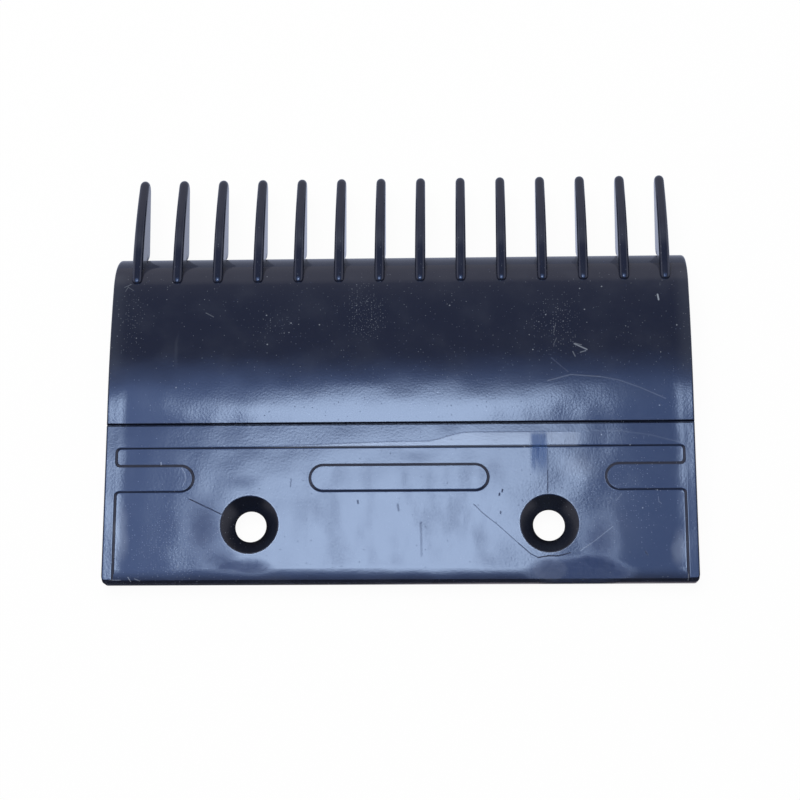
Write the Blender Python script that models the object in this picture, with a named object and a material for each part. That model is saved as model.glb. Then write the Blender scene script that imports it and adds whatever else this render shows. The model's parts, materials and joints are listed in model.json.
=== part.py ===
"""Escalator comb plate, moulded in one piece.

The frame has +X across the plate, +Y towards the tooth tips and +Z up. The origin lies
under the middle of the outline, at the level of the tooth bottoms. All sizes are metres.
"""
import math

import bmesh
import bpy

# Teeth
TOOTH_COUNT = 14
TOOTH_PITCH = 0.01007
TOOTH_ROOT_THICKNESS = 0.00265
TOOTH_TIP_THICKNESS = 0.0024
TOOTH_DRAFT_DEG = 1.0
TOOTH_EDGE_RADIUS = 0.0007
TOOTH_REACH = 0.0303
TOOTH_CREST_LEAD = 0.0027
TOOTH_CREST_DROP = 0.0023
TIP_RADIUS = 0.0026
HEEL_RADIUS = 0.0016
HEEL_CLEARANCE = 0.0006
FIN_SETBACK = 0.0006
FIN_END_RADIUS = 0.0006

# Outline of the plate, with stations measured forward from the rear foot
SIDE_ALLOWANCE = 0.00102
DECK_HEIGHT = 0.0143
GROOVE_STATION = 0.0384
CROWN_LENGTH = 0.0358
CROWN_RADIUS = 0.150
CROWN_RISE = 0.0002
NOSE_RADIUS = 0.0119
NOSE_DEPTH = 0.0098
EDGE_RADIUS = 0.0004
REAR_BEVEL_RUN = 0.0007
REAR_BEVEL_DROP = 0.0012
REAR_DRAFT_DEG = 1.0
SIDE_DRAFT_DEG = 1.5

# Walls and the hollow underside
SLAB_THICKNESS = 0.0054
DECK_WALL = 0.0036
SIDE_WALL = 0.0030
RIB_THICKNESS = 0.0024
SHOULDER_SETBACK = 0.0037
SHOULDER_WALL = 0.0030
REAR_CORE_DEPTH = 0.0020
BOSS_RADIUS = 0.0095

# Sunk panel with its raised tongues and bar
PANEL_DEPTH = 0.0004
PANEL_SETBACK = 0.0058
PANEL_MARGIN = 0.0026
PANEL_CORNER_RADIUS = 0.0004
PANEL_WALL_RUN = 0.0004
RAMP_LENGTH = 0.0024
RAMP_FOOT_DEPTH = 0.00002
RAMP_LAND = 0.0002
ISLAND_SETBACK = 0.0076
ISLAND_WIDTH = 0.0063
TONGUE_LENGTH = 0.0190
BAR_LENGTH = 0.0429

# Groove across the deck
GROOVE_WIDTH = 0.0006
GROOVE_FOOT_WIDTH = 0.0004
GROOVE_DEPTH = 0.0006

# Countersunk screw holes
SCREW_SPACING = 0.07186
SCREW_STATION = 0.0141
SCREW_HOLE_RADIUS = 0.00382
COUNTERSINK_RADIUS = 0.00698
HOLE_FOOT_CHAMFER = 0.0004

# Fineness of the round stretches
CROWN_STEPS = 9
NOSE_STEPS = 8
TOOTH_CREST_STEPS = 9
TOOTH_ROOT_STEPS = 4
FIN_END_STEPS = 2
TIP_STEPS = 7
HEEL_STEPS = 3
ISLAND_STEPS = 12
CORNER_STEPS = 3
RAMP_STEPS = 4
HOLE_STEPS = 48
EDGE_STEPS = 2
ROUND_PROFILE = 0.5

# Edges that turn by more than this are shaded sharp
SHARP_ANGLE_DEG = 30.0

# Margin by which a cutter runs past the faces that it cuts
OVERCUT = 0.001

# Points closer than this are one point
MERGE_DISTANCE = 0.0000001

# Places worked out from the sizes above
PLATE_WIDTH = TOOTH_COUNT * TOOTH_PITCH + SIDE_ALLOWANCE
HALF_WIDTH = PLATE_WIDTH / 2
BEVEL_STATION = (SLAB_THICKNESS - REAR_BEVEL_DROP) * math.tan(math.radians(REAR_DRAFT_DEG))
REAR_EDGE = BEVEL_STATION + REAR_BEVEL_RUN
SLAB_FOOT = DECK_HEIGHT - SLAB_THICKNESS
NOSE_FOOT = DECK_HEIGHT - NOSE_DEPTH
PANEL_FLOOR = DECK_HEIGHT - PANEL_DEPTH
SHOULDER_STATION = GROOVE_STATION + SHOULDER_SETBACK
PANEL_STATION = GROOVE_STATION - PANEL_SETBACK
ISLAND_STATION = PANEL_STATION - ISLAND_SETBACK
CROWN_END = GROOVE_STATION + CROWN_LENGTH
OVERALL_LENGTH = CROWN_END + TOOTH_REACH
CROWN_APEX = GROOVE_STATION + math.sqrt(2 * CROWN_RADIUS * CROWN_RISE)
CROWN_CENTRE = (CROWN_APEX, DECK_HEIGHT + CROWN_RISE - CROWN_RADIUS)
NOSE_ANGLE = math.asin((CROWN_END - CROWN_APEX) / CROWN_RADIUS)


def on_circle(centre, radius, angle):
    """Point on a circle, with the angle measured from straight up towards +Y."""
    return (centre[0] + radius * math.sin(angle), centre[1] + radius * math.cos(angle))


def arc(centre, radius, start, end, steps):
    """Points along an arc, with both ends."""
    turn = (end - start) / steps
    return [on_circle(centre, radius, start + turn * i) for i in range(steps + 1)]


NOSE_CENTRE = on_circle(CROWN_CENTRE, CROWN_RADIUS - NOSE_RADIUS, NOSE_ANGLE)


def nose_end_angle(radius, level):
    """Angle at which an arc about the nose centre comes down to a level."""
    return math.acos(max(0.0, min(1.0, (level - NOSE_CENTRE[1]) / radius)))


def deck_curve(inset, level):
    """Crown and nose, a wall's thickness under the outer surface, down to a level."""
    crown = CROWN_RADIUS - inset
    nose = NOSE_RADIUS - inset
    start = -math.asin((CROWN_APEX - GROOVE_STATION) / crown)
    points = arc(CROWN_CENTRE, crown, start, NOSE_ANGLE, CROWN_STEPS)
    points += arc(NOSE_CENTRE, nose, NOSE_ANGLE, nose_end_angle(nose, level), NOSE_STEPS)[1:]
    if points[-1][1] > level + MERGE_DISTANCE:
        points.append((points[-1][0], level))
    return points


def place(station):
    """World Y of a station."""
    return station - OVERALL_LENGTH / 2


def remove_everything():
    """Empty the scene that the script starts in."""
    for item in list(bpy.data.objects):
        bpy.data.objects.remove(item, do_unlink=True)


def new_object(name, bm, cutter=False):
    """Turn a bmesh into a named object with its faces pointing out."""
    bmesh.ops.remove_doubles(bm, verts=bm.verts, dist=MERGE_DISTANCE)
    bmesh.ops.recalc_face_normals(bm, faces=bm.faces)
    mesh = bpy.data.meshes.new(name)
    bm.to_mesh(mesh)
    bm.free()
    item = bpy.data.objects.new(name, mesh)
    bpy.context.scene.collection.objects.link(item)
    if cutter:
        item.hide_render = True
        item.display_type = 'WIRE'
    return item


def boolean(target, tool, operation):
    """Join or cut one object with another."""
    step = target.modifiers.new(f"{operation.lower()}_{tool.name}", 'BOOLEAN')
    step.operation = operation
    step.solver = 'EXACT'
    step.object = tool


def settle(target):
    """Make the joins and cuts part of the mesh, and clear the tools away."""
    depsgraph = bpy.context.evaluated_depsgraph_get()
    mesh = bpy.data.meshes.new_from_object(target.evaluated_get(depsgraph))
    target.modifiers.clear()
    target.data = mesh
    mesh.name = target.name
    for item in list(bpy.data.objects):
        if item is not target:
            bpy.data.objects.remove(item, do_unlink=True)


def bridge_loops(bm, first, second):
    """Quads between two rings of as many vertices."""
    count = len(first)
    for i in range(count):
        j = (i + 1) % count
        bm.faces.new((first[i], first[j], second[j], second[i]))


def side_prism(bm, outline, left_of, right_of):
    """Solid with an outline of (station, z) and a left and right X for each point."""
    left = [bm.verts.new((left_of(s, z), place(s), z)) for s, z in outline]
    right = [bm.verts.new((right_of(s, z), place(s), z)) for s, z in outline]
    bridge_loops(bm, left, right)
    bm.faces.new(left)
    bm.faces.new(list(reversed(right)))
    return left, right


def plan_prism(bm, outlines, levels):
    """Solid through rings of (x, station) points at rising levels."""
    rings = []
    for outline, level in zip(outlines, levels):
        rings.append([bm.verts.new((x, place(s), level)) for x, s in outline])
    for lower, upper in zip(rings, rings[1:]):
        bridge_loops(bm, lower, upper)
    bm.faces.new(rings[0])
    bm.faces.new(list(reversed(rings[-1])))


def turned(bm, x, station, profile):
    """Solid turned about a vertical axis from (radius, z) points."""
    outlines = []
    for radius, _ in profile:
        ring = []
        for i in range(HOLE_STEPS):
            angle = 2 * math.pi * i / HOLE_STEPS
            ring.append((x + radius * math.cos(angle), station + radius * math.sin(angle)))
        outlines.append(ring)
    plan_prism(bm, outlines, [z for _, z in profile])


def body_outline():
    """Side view of the plate without its teeth, from the rear foot up and over."""
    points = [
        (0.0, SLAB_FOOT),
        (BEVEL_STATION, DECK_HEIGHT - REAR_BEVEL_DROP),
        (REAR_EDGE, DECK_HEIGHT),
    ]
    points += deck_curve(0.0, NOSE_FOOT)
    points += [(SHOULDER_STATION, NOSE_FOOT), (SHOULDER_STATION, SLAB_FOOT)]
    return points


def side_x(z):
    """Half width at a level, wider towards the foot by the side draft."""
    return HALF_WIDTH + (DECK_HEIGHT - z) * math.tan(math.radians(SIDE_DRAFT_DEG))


def build_body():
    """The plate itself, with its outer edges eased."""
    bm = bmesh.new()
    outline = body_outline()
    left, right = side_prism(bm, outline, lambda s, z: -side_x(z), lambda s, z: side_x(z))
    count = len(outline)
    eased = []
    for ring in (left, right):
        for i in range(count):
            eased.append(bm.edges.get((ring[i], ring[(i + 1) % count])))
    bmesh.ops.bevel(bm, geom=eased, offset=EDGE_RADIUS, segments=EDGE_STEPS, profile=ROUND_PROFILE,
                    affect='EDGES', clamp_overlap=True)
    return new_object("comb_plate", bm)


def tooth_centres():
    """X of each tooth's middle plane."""
    return [(i - (TOOTH_COUNT - 1) / 2) * TOOTH_PITCH for i in range(TOOTH_COUNT)]


def tooth_outline():
    """Side view of one tooth, and how many of its first points stand in the open."""
    tip = (OVERALL_LENGTH - TIP_RADIUS, TIP_RADIUS)
    crest = (CROWN_END + TOOTH_CREST_LEAD, DECK_HEIGHT - TOOTH_CREST_DROP)
    run = tip[0] - crest[0]
    fall = crest[1] - tip[1]
    radius = (run ** 2 + fall ** 2 - TIP_RADIUS ** 2) / (2 * (fall - TIP_RADIUS))
    centre = (crest[0], crest[1] - radius)
    tip_angle = math.asin(run / (radius - TIP_RADIUS))
    fin_angle = math.asin((FIN_SETBACK + FIN_END_RADIUS - TOOTH_CREST_LEAD) / radius)
    fin_top = on_circle(centre, radius, fin_angle)
    fin_end = (fin_top[0], fin_top[1] - FIN_END_RADIUS)
    points = arc(fin_end, FIN_END_RADIUS, -math.pi / 2, 0.0, FIN_END_STEPS)
    points += arc(centre, radius, fin_angle, tip_angle, TOOTH_CREST_STEPS)[1:]
    points += arc(tip, TIP_RADIUS, tip_angle, math.pi, TIP_STEPS)[1:]
    nose_foot = deck_curve(0.0, NOSE_FOOT)[-1][0]
    heel = (nose_foot + HEEL_CLEARANCE + HEEL_RADIUS, HEEL_RADIUS)
    points += arc(heel, HEEL_RADIUS, math.pi, 1.5 * math.pi, HEEL_STEPS)
    points.append((nose_foot + HEEL_CLEARANCE, NOSE_FOOT))
    open_count = len(points)
    depth = NOSE_RADIUS - DECK_WALL / 2
    inner_end = nose_end_angle(depth, NOSE_FOOT + DECK_WALL / 2)
    points += arc(NOSE_CENTRE, depth, inner_end, NOSE_ANGLE, TOOTH_ROOT_STEPS)
    return points, open_count


def tooth_half(station, z):
    """Half thickness of a blade, which thins towards its tip and towards its foot."""
    taper = (TOOTH_ROOT_THICKNESS - TOOTH_TIP_THICKNESS) / TOOTH_REACH
    drop = DECK_HEIGHT - TOOTH_CREST_DROP - z
    across = TOOTH_ROOT_THICKNESS - taper * (station - CROWN_END)
    return across / 2 - drop * math.tan(math.radians(TOOTH_DRAFT_DEG))


def build_teeth():
    """All teeth as blades that reach into the nose, each with eased edges."""
    bm = bmesh.new()
    outline, open_count = tooth_outline()
    eased = []
    for centre in tooth_centres():
        left, right = side_prism(bm, outline, lambda s, z: centre - tooth_half(s, z),
                                 lambda s, z: centre + tooth_half(s, z))
        for ring in (left, right):
            for i in range(open_count - 1):
                eased.append(bm.edges.get((ring[i], ring[i + 1])))
    bmesh.ops.bevel(bm, geom=eased, offset=TOOTH_EDGE_RADIUS, segments=EDGE_STEPS,
                    profile=ROUND_PROFILE, affect='EDGES', clamp_overlap=True)
    return new_object("tooth_blades", bm, cutter=True)


def core_columns():
    """X limits of the hollows between the ribs, which stand in line with the teeth."""
    ribs = tooth_centres()[1:-1]
    wall = HALF_WIDTH - SIDE_WALL
    lefts = [-wall] + [x + RIB_THICKNESS / 2 for x in ribs]
    rights = [x - RIB_THICKNESS / 2 for x in ribs] + [wall]
    return list(zip(lefts, rights))


def build_front_cores():
    """Cutter for the hollows under the curved front."""
    bm = bmesh.new()
    start = SHOULDER_STATION + SHOULDER_WALL
    ceiling = [point for point in deck_curve(DECK_WALL, NOSE_FOOT) if point[0] > start + OVERCUT]
    crown = CROWN_RADIUS - DECK_WALL
    start_angle = math.asin((start - CROWN_CENTRE[0]) / crown)
    first = on_circle(CROWN_CENTRE, crown, start_angle)
    outline = [(start, NOSE_FOOT - OVERCUT), first] + ceiling
    outline.append((ceiling[-1][0], NOSE_FOOT - OVERCUT))
    for low, high in core_columns():
        side_prism(bm, outline, lambda s, z: low, lambda s, z: high)
    return new_object("front_cores", bm, cutter=True)


def build_rear_cores(bosses):
    """Cutter for the shallow hollows under the rear slab, which leaves the screw bosses."""
    bm = bmesh.new()
    rear = REAR_EDGE + SIDE_WALL
    front = SHOULDER_STATION - SIDE_WALL
    middle = (rear + front) / 2
    rows = [(rear, middle - RIB_THICKNESS / 2), (middle + RIB_THICKNESS / 2, front)]
    for low, high in core_columns():
        for near, far in rows:
            outline = [(low, near), (high, near), (high, far), (low, far)]
            levels = [SLAB_FOOT - OVERCUT, SLAB_FOOT + REAR_CORE_DEPTH]
            plan_prism(bm, [outline, outline], levels)
    cutter = new_object("rear_cores", bm, cutter=True)
    boolean(cutter, bosses, 'DIFFERENCE')
    return cutter


def screw_centres():
    """X of the two screw holes."""
    return [-SCREW_SPACING / 2, SCREW_SPACING / 2]


def build_bosses():
    """Solid columns left round the screw holes."""
    bm = bmesh.new()
    for x in screw_centres():
        levels = (SLAB_FOOT - 2 * OVERCUT, DECK_HEIGHT)
        turned(bm, x, SCREW_STATION, [(BOSS_RADIUS, z) for z in levels])
    return new_object("screw_bosses", bm, cutter=True)


def build_screw_holes():
    """Cutter for the two countersunk holes."""
    cone_foot = PANEL_FLOOR - (COUNTERSINK_RADIUS - SCREW_HOLE_RADIUS)
    profile = [
        (SCREW_HOLE_RADIUS + HOLE_FOOT_CHAMFER + OVERCUT, SLAB_FOOT - OVERCUT),
        (SCREW_HOLE_RADIUS, SLAB_FOOT + HOLE_FOOT_CHAMFER),
        (SCREW_HOLE_RADIUS, cone_foot),
        (COUNTERSINK_RADIUS + OVERCUT, PANEL_FLOOR + OVERCUT),
    ]
    bm = bmesh.new()
    for x in screw_centres():
        turned(bm, x, SCREW_STATION, profile)
    return new_object("screw_holes", bm, cutter=True)


def round_end(x, side, radius, steps):
    """Half circle in plan about an island's end, from its rear side to its front side."""
    points = []
    for i in range(steps + 1):
        angle = -math.pi / 2 + math.pi * i / steps
        points.append((x + side * radius * math.cos(angle), ISLAND_STATION + radius * math.sin(angle)))
    return points


def corner(x, station, side, radius):
    """Rounded front corner of the panel, from its side line to its front line."""
    centre_x = x - side * radius
    centre_s = station - radius
    points = []
    for i in range(CORNER_STEPS + 1):
        angle = math.pi / 2 * i / CORNER_STEPS
        points.append((centre_x + side * radius * math.cos(angle), centre_s + radius * math.sin(angle)))
    return points


def panel_outline(grow):
    """Plan of the sunk panel with a notch for each side tongue, widened all round by grow."""
    edge = HALF_WIDTH - PANEL_MARGIN + grow
    front = PANEL_STATION + grow
    island = ISLAND_WIDTH / 2 - grow
    tongue_x = HALF_WIDTH - PANEL_MARGIN - TONGUE_LENGTH + ISLAND_WIDTH / 2
    radius = PANEL_CORNER_RADIUS + grow
    half = [(edge, REAR_EDGE - OVERCUT), (edge, ISLAND_STATION - island)]
    half += round_end(tongue_x, -1, island, ISLAND_STEPS)
    half.append((edge, ISLAND_STATION + island))
    half += corner(edge, front, 1, radius)
    mirrored = [(-x, s) for x, s in reversed(half)]
    return half + mirrored


def bar_outline(grow):
    """Plan of the raised bar in the middle of the panel."""
    radius = ISLAND_WIDTH / 2 - grow
    end = (BAR_LENGTH - ISLAND_WIDTH) / 2
    right = round_end(end, 1, radius, ISLAND_STEPS)
    left = [(-x, s) for x, s in reversed(right)]
    return right + left


def build_panel():
    """Cutter for the sunk panel, which keeps the bar and rises to the rear edge."""
    slope = PANEL_WALL_RUN / PANEL_DEPTH
    top = DECK_HEIGHT + PANEL_DEPTH / 2
    low_grow = -PANEL_WALL_RUN / 2
    high_grow = low_grow + slope * (top - PANEL_FLOOR)
    bm = bmesh.new()
    plan_prism(bm, [panel_outline(low_grow), panel_outline(high_grow)], [PANEL_FLOOR, top])
    panel = new_object("panel_cut", bm, cutter=True)

    low = PANEL_FLOOR - OVERCUT
    low_bar = low_grow - slope * OVERCUT
    high_bar = high_grow + slope * OVERCUT
    bm = bmesh.new()
    plan_prism(bm, [bar_outline(low_bar), bar_outline(high_bar)], [low, top + OVERCUT])
    bar = new_object("raised_bar", bm, cutter=True)
    boolean(panel, bar, 'DIFFERENCE')

    ramp_rise = PANEL_DEPTH + RAMP_FOOT_DEPTH
    sweep = 2 * math.atan(ramp_rise / RAMP_LENGTH)
    radius = RAMP_LENGTH / math.sin(sweep)
    foot = REAR_EDGE + RAMP_LAND + RAMP_LENGTH
    behind = REAR_EDGE - 2 * OVERCUT
    past_top = foot - RAMP_LENGTH - behind
    outline = [(behind, low), (foot, low)]
    outline += arc((foot, DECK_HEIGHT - ramp_rise + radius), radius, math.pi, math.pi + sweep, RAMP_STEPS)
    outline.append((behind, DECK_HEIGHT + past_top * math.tan(sweep)))
    bm = bmesh.new()
    side_prism(bm, outline, lambda s, z: -HALF_WIDTH, lambda s, z: HALF_WIDTH)
    ramp = new_object("panel_ramp", bm, cutter=True)
    boolean(panel, ramp, 'DIFFERENCE')
    return panel


def build_groove():
    """Cutter for the thin groove across the deck, narrower at its foot."""
    top = DECK_HEIGHT + OVERCUT
    foot = DECK_HEIGHT - GROOVE_DEPTH
    half_foot = GROOVE_FOOT_WIDTH / 2
    half_top = half_foot + (GROOVE_WIDTH / 2 - half_foot) * (top - foot) / GROOVE_DEPTH
    outline = [
        (GROOVE_STATION - half_foot, foot),
        (GROOVE_STATION + half_foot, foot),
        (GROOVE_STATION + half_top, top),
        (GROOVE_STATION - half_top, top),
    ]
    reach = HALF_WIDTH + OVERCUT
    bm = bmesh.new()
    side_prism(bm, outline, lambda s, z: -reach, lambda s, z: reach)
    return new_object("deck_groove", bm, cutter=True)


def plastic():
    """Glossy blue-black moulded plastic."""
    material = bpy.data.materials.new("blue_black_plastic")
    material.use_nodes = True
    shader = material.node_tree.nodes["Principled BSDF"]
    shader.inputs["Base Color"].default_value = (0.018, 0.022, 0.042, 1.0)
    shader.inputs["Roughness"].default_value = 0.22
    shader.inputs["Metallic"].default_value = 0.0
    return material


def build():
    """Model the comb plate as one solid."""
    remove_everything()
    plate = build_body()
    boolean(plate, build_front_cores(), 'DIFFERENCE')
    boolean(plate, build_rear_cores(build_bosses()), 'DIFFERENCE')
    boolean(plate, build_teeth(), 'UNION')
    boolean(plate, build_panel(), 'DIFFERENCE')
    boolean(plate, build_groove(), 'DIFFERENCE')
    boolean(plate, build_screw_holes(), 'DIFFERENCE')
    settle(plate)
    plate.data.materials.append(plastic())
    plate.data.shade_smooth()
    plate.data.set_sharp_from_angle(angle=math.radians(SHARP_ANGLE_DEG))
    return plate


build()
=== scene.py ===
import json
import math

import bmesh
import bpy
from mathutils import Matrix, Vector


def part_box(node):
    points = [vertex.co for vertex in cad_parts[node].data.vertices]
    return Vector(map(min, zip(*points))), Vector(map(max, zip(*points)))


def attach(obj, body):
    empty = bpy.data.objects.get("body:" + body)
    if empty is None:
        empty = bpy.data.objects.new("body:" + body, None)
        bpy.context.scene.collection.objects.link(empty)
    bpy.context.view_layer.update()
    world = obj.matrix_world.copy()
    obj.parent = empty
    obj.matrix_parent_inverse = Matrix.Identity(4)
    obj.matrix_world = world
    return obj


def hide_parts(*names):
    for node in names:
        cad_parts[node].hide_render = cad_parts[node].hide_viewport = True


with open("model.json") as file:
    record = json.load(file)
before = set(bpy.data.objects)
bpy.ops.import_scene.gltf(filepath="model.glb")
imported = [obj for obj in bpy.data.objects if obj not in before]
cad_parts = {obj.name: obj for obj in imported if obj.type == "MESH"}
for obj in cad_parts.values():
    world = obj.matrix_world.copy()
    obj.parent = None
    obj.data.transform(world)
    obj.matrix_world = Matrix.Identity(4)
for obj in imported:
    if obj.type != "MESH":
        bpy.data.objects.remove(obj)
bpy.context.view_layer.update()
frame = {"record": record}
print("frame loaded")

# where things are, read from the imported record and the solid's own box
low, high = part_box("comb_plate")
mountAt = {m["name"]: m["pos_m"] for m in frame["record"]["mounts"]}
openingAt = {o["name"]: o["box_m"] for o in frame["record"]["physics"]["openings"]}
gapCentres = [(b[0][0] + b[1][0]) / 2 for n, b in sorted(openingAt.items()) if n.startswith("tooth_gap")]
screwCentres = [(b[0][0] + b[1][0]) / 2 for n, b in sorted(openingAt.items()) if n.startswith("screw_hole")]
screwBox = openingAt["screw_hole_left"]
screwY = (screwBox[0][1] + screwBox[1][1]) / 2
deckTop = mountAt["tread_band"][2]
slabFoot = mountAt["seat_left"][2]
shoulderY = mountAt["locating_shoulder"][1]
rearY = low.y
tipY = high.y
toothPitch = (gapCentres[-1] - gapCentres[0]) / (len(gapCentres) - 1)
toothCentres = [gapCentres[0] + toothPitch * (i - 0.5) for i in range(len(gapCentres) + 1)]

# the plate's own sizes, in metres; a station is a distance forward from the rear foot
plate = {
    "width": 0.14222,
    "sideDraftDeg": 0.6,
    "edgeRadius": 0.00034,
    "cornerRadius": 0.0009,       # the four corners in plan
    "edgeSteps": 7,
    "footEdgeShare": 0.45,        # how much of the edge rounding the underside gets
    "bevelStation": 0.00003,
    "rearEdge": 0.00080,
    "rearBevelDrop": 0.0013,
    "grooveStation": 0.03851,
    "crownLength": 0.0359,
    "crownRadius": 0.150,
    "crownRise": 0.0002,
    "crownSteps": 44,
    "noseRadius": 0.0120,
    "noseDepth": 0.0098,
    "noseSteps": 26,
    "deckWall": 0.0036,
    # the sides of the deck curl up: slope in degrees at distances in from the side
    "curlSlopes": ((0, 1.5), (0.0011, 1.72), (0.0022, 1.35), (0.0032, 1.7), (0.0042, 1.15), (0.0056, 0)),
    "curlSteps": 16,
    "curlDepth": 0.003,           # how far down the side walls the curl reaches
    "footRadius": 0.0004,
    "rearBevelRadius": 0.0012,
    "rearTopRadius": 0.00022,
    "shoulderRadius": 0.0003,
    "outlineSteps": 5,
}

panel = {
    "depth": 0.0004,
    "wallRun": 0.0008,
    "wallSteps": 8,
    "wallEase": 0.85,            # 0 gives a straight slope, 1 one that is level at both ends
    "setback": 0.0058,
    "margin": 0.0027,
    "cornerRadius": 0.0010,
    "cornerSteps": 8,
    "rampLength": 0.0045,
    "rampRise": 0.00016,
    "rampLand": 0.00003,
    "rampFootDepth": 0.00002,
    "rampPower": 2.5,
    "rampSteps": 20,
    "islandSetback": 0.0075,
    "islandWidth": 0.00635,
    "tongueLength": 0.0188,
    "barLength": 0.0429,
    "endSteps": 32,
}

groove = {"width": 0.00058, "depth": 0.0008, "footShare": 0.12, "lip": 0.00012}

hole = {
    "radius": 0.00382,
    "sinkRadius": 0.00698,
    "lip": 0.00016,
    "setback": 0.00007,
    "footChamfer": 0.0004,
    "steps": 120,
}

tooth = {
    "rootThickness": 0.00268,
    "tipThickness": 0.0026,
    "shift": 0.00008,
    "draftDeg": 1.0,
    "edgeRadius": 0.00115,
    "edgeSteps": 8,
    "crestLead": -0.0025,
    "crestDrop": 0.00175,
    "tipRadius": 0.0026,
    "tipRise": 0.0014,           # the blade's lower edge climbs this much towards its tip
    "heelRadius": 0.0016,
    "heelClearance": 0.0006,
    "finSetback": 0.0006,
    "finEndRadius": 0.0006,
    "crestSteps": 30,
    "tipSteps": 16,
    "heelSteps": 8,
    "finSteps": 5,
    "rootSteps": 8,
}

under = {
    "sideWall": 0.0030,
    "rib": 0.0024,
    "shoulderWall": 0.0030,
    "coreDepth": 0.0020,
    "bossRadius": 0.0095,
    "cornerRadius": 0.0005,
    "cornerSteps": 3,
    "cornerAngle": 0.6,          # edges that turn more than this, in radians, are rounded
    "ceilingSteps": (14, 8),
}

overcut = 0.001          # how far a cutter runs past the faces that it cuts
hair = 0.000004          # keeps a cutter's edge ring off the plane that it crosses
sharpAngleDeg = 34
millimetres = 1000.0     # in a metre
micrometre = 0.000001

# places worked out from the sizes
halfWidth = plate["width"] / 2
rearTopY = rearY + plate["rearEdge"]
grooveY = rearY + plate["grooveStation"]
crownEndY = grooveY + plate["crownLength"]
crownApexY = grooveY + math.sqrt(2 * plate["crownRadius"] * plate["crownRise"])
crownCentre = (crownApexY, deckTop + plate["crownRise"] - plate["crownRadius"])
noseAngle = math.asin((crownEndY - crownApexY) / plate["crownRadius"])
noseFoot = deckTop - plate["noseDepth"]
panelFloor = deckTop - panel["depth"]
panelFrontY = grooveY - panel["setback"]
islandY = panelFrontY - panel["islandSetback"]


def onCircle(centre, radius, angle):
    # the angle runs from straight up towards the tooth tips
    return (centre[0] + radius * math.sin(angle), centre[1] + radius * math.cos(angle))


def arcPoints(centre, radius, start, end, steps):
    return [onCircle(centre, radius, start + (end - start) * i / steps) for i in range(steps + 1)]


noseCentre = onCircle(crownCentre, plate["crownRadius"] - plate["noseRadius"], noseAngle)


def roundCorners(points, radii, steps):
    # swaps each corner that has a radius for an arc that meets both of its sides
    result = []
    count = len(points)
    for i, (corner, radius) in enumerate(zip(points, radii)):
        if radius == 0:
            result.append(corner)
            continue
        here = Vector(corner)
        back = (Vector(points[i - 1]) - here).normalized()
        ahead = (Vector(points[(i + 1) % count]) - here).normalized()
        half = back.angle(ahead) / 2
        run = radius / math.tan(half)
        centre = here + (back + ahead).normalized() * (radius / math.sin(half))
        first = here + back * run - centre
        last = here + ahead * run - centre
        sweep = first.angle(last)
        for k in range(steps + 1):
            share = k / steps
            spoke = (first * math.sin((1 - share) * sweep) + last * math.sin(share * sweep)) / math.sin(sweep)
            result.append(tuple(centre + spoke))
    return result


def deckCurve(inset, level, crownSteps, noseSteps, footInset=None):
    # crown and nose, an inset under the outer surface that can change on the way to the nose's foot
    footInset = inset if footInset is None else footInset
    crown = plate["crownRadius"] - inset
    nose = plate["noseRadius"] - footInset
    start = -math.asin((crownApexY - grooveY) / crown)
    end = math.acos(max(0.0, min(1.0, (level - noseCentre[1]) / nose)))
    points = arcPoints(crownCentre, crown, start, noseAngle, crownSteps)
    for i in range(1, noseSteps + 1):
        share = i / noseSteps
        radius = plate["noseRadius"] - inset + (inset - footInset) * share
        points.append(onCircle(noseCentre, radius, noseAngle + (end - noseAngle) * share))
    return points


def newObject(name, bm, isTool=False):
    bmesh.ops.recalc_face_normals(bm, faces=bm.faces)
    mesh = bpy.data.meshes.new(name)
    bm.to_mesh(mesh)
    bm.free()
    item = bpy.data.objects.new(name, mesh)
    bpy.context.scene.collection.objects.link(item)
    item.hide_render = isTool
    return item


def bridge(bm, first, second):
    for i in range(len(first)):
        j = (i + 1) % len(first)
        bm.faces.new((first[i], first[j], second[j], second[i]))


def loft(bm, rings):
    # closed solid through rings of (x, y, z) points that all have as many points
    made = [[bm.verts.new(point) for point in ring] for ring in rings]
    for first, second in zip(made, made[1:]):
        bridge(bm, first, second)
    bm.faces.new(made[0])
    bm.faces.new(list(reversed(made[-1])))
    return made


def sideLoft(bm, outline, left, right):
    # solid with a (y, z) outline between two planes of x
    return loft(bm, [[(left, y, z) for y, z in outline], [(right, y, z) for y, z in outline]])


def planLoft(bm, outlines, levels):
    return loft(bm, [[(x, y, z) for x, y in outline] for outline, z in zip(outlines, levels)])


def edgeSections(radius, steps):
    # (distance in from the side, inset of the outline) pairs round an edge
    angles = [math.pi / 2 * i / steps for i in range(steps + 1)]
    return [(radius * (1 - math.cos(a)), radius * (1 - math.sin(a))) for a in angles]


def roundInset(u, radius):
    # inset of a rounded edge at a distance in from the side
    return radius - math.sqrt(max(0.0, radius ** 2 - (radius - min(u, radius)) ** 2))


def cut(target, tool, operation="DIFFERENCE"):
    step = target.modifiers.new(tool.name, "BOOLEAN")
    step.operation = operation
    step.solver = "MANIFOLD"
    step.object = tool


def settle(target, tools):
    # bakes the joins and cuts into the mesh and clears the tools away
    depsgraph = bpy.context.evaluated_depsgraph_get()
    mesh = bpy.data.meshes.new_from_object(target.evaluated_get(depsgraph))
    target.modifiers.clear()
    target.data = mesh
    mesh.name = target.name
    for tool in tools:
        bpy.data.objects.remove(tool, do_unlink=True)


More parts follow.
